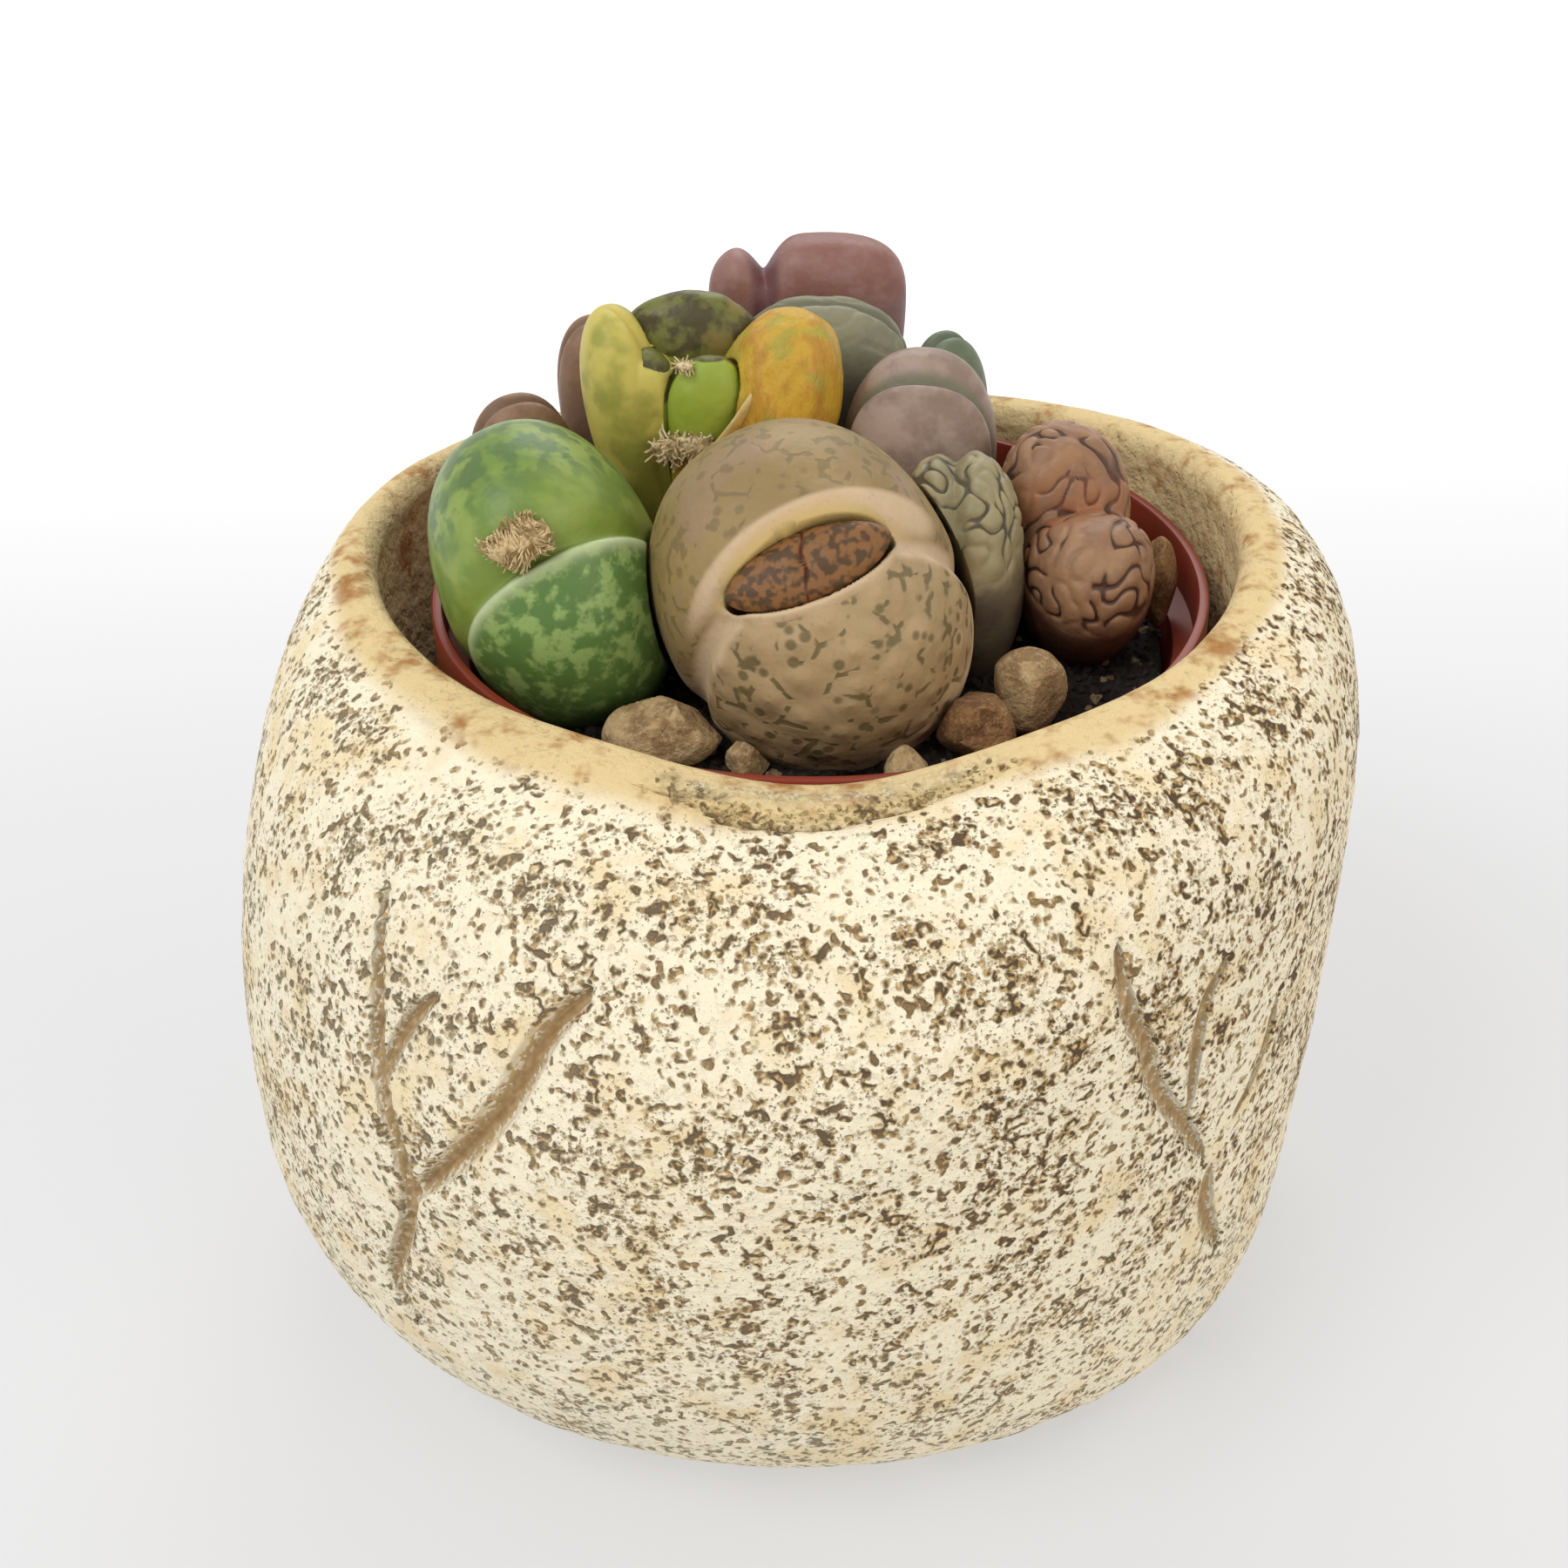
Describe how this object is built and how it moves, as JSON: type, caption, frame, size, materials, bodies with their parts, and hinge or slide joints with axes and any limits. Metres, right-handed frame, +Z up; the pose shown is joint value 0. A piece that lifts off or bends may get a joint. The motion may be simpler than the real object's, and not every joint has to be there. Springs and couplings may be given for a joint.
{
  "type": "potted lithops",
  "caption": "A crowd of living-stone succulents in a thin red nursery pot, set in a small cream pot cast like a pitted, cracked boulder.",
  "frame": {"origin": "middle of the object's box, on the surface it stands on", "axes": "+Z up; -Y is the front, the side with the worn dip in the rim and the largest leaf head; +X to the right of the front"},
  "size_m": [0.0782, 0.0843, 0.067],
  "materials": {
    "stone": "matt cast stone, cream over brown, pitted",
    "nursery_plastic": "thin moulded plastic, satin",
    "soil": "dark loose grit and soil",
    "leaf_beige": "waxy leaf skin, grey beige with olive dots",
    "leaf_green": "waxy leaf skin, mottled green",
    "leaf_pink": "waxy leaf skin, pink brown with raised nets",
    "leaf_grey": "waxy leaf skin, grey green with raised nets",
    "leaf_mauve": "waxy leaf skin, mauve",
    "leaf_dark": "waxy leaf skin, dark green",
    "leaf_brown": "waxy leaf skin, brown",
    "leaf_young": "young leaf skin, pinkish brown, mottled",
    "leaf_old": "withering leaf skin, yellow green to orange",
    "leaf_new": "fresh leaf skin, olive green with dark mottles",
    "dry_fibre": "dry, papery plant fibre",
    "pebble": "broken tan and brown grit"
  },
  "bodies": {
    "root": {"stone_pot": "stone", "nursery_pot": "nursery_plastic", "soil": "soil", "centre_head": "leaf_beige", "green_head": "leaf_green", "pink_head": "leaf_pink", "grey_green_head": "leaf_grey", "mauve_head": "leaf_mauve", "sage_head": "leaf_grey", "tall_head": "leaf_mauve", "small_dark_head": "leaf_dark", "brown_head": "leaf_brown", "low_brown_head": "leaf_brown", "young_pair": "leaf_young", "splitting_head_old_leaves": "leaf_old", "splitting_head_new_leaves": "leaf_new", "dried_flower": "dry_fibre", "pebble_1": "pebble", "pebble_2": "pebble", "pebble_3": "pebble", "pebble_4": "pebble", "pebble_5": "pebble", "pebble_6": "pebble", "pebble_7": "pebble", "pebble_8": "pebble", "pebble_9": "pebble"}
  },
  "joints": []
}
